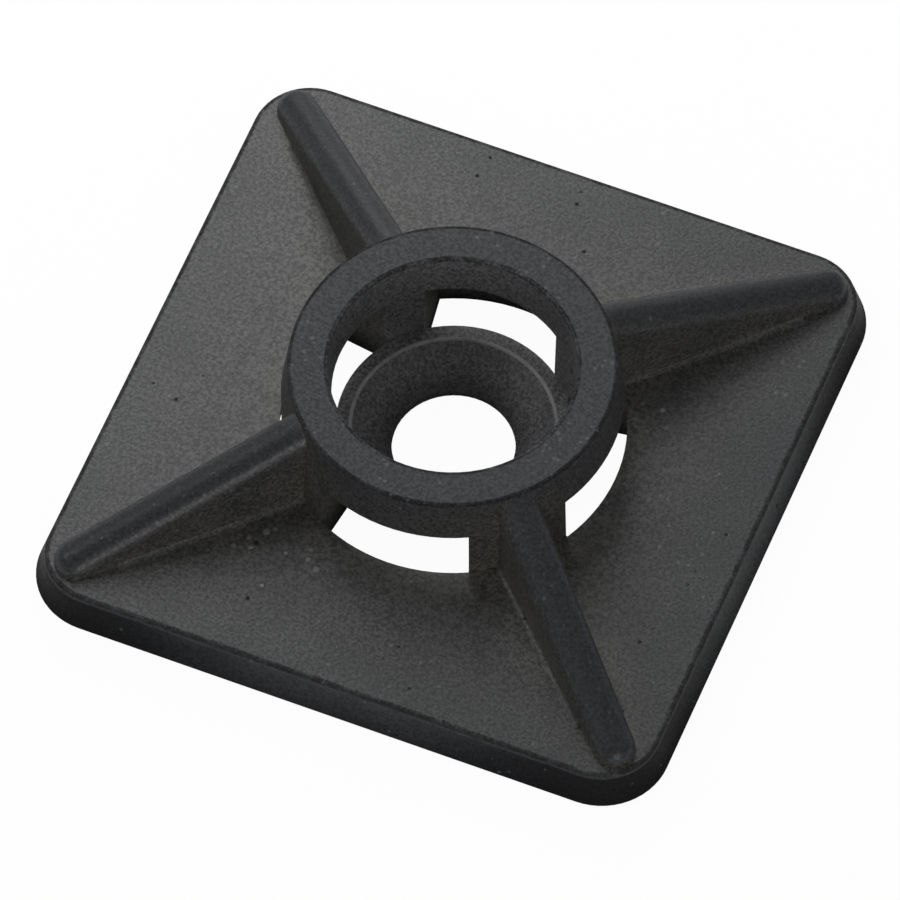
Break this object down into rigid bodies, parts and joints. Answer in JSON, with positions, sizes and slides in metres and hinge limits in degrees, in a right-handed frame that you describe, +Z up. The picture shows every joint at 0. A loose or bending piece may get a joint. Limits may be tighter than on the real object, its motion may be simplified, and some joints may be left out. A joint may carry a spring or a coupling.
{
  "type": "cable tie mount",
  "caption": "Square screw-on cable tie mount: a flat base with a raised ring on posts over a countersunk hole, braced by diagonal ribs, with a slot for a tie on every side.",
  "frame": {"origin": "middle of the screw hole, on the flat underside", "axes": "+Z up along the screw hole, away from the surface the mount is screwed to; +X and +Y square to the plate's sides, through the middles of the tie slots"},
  "size_m": [0.028, 0.028, 0.0066],
  "materials": {
    "black_nylon": "fine spark-eroded grain, satin black"
  },
  "bodies": {
    "root": {"tie_mount": "black_nylon"}
  },
  "joints": []
}
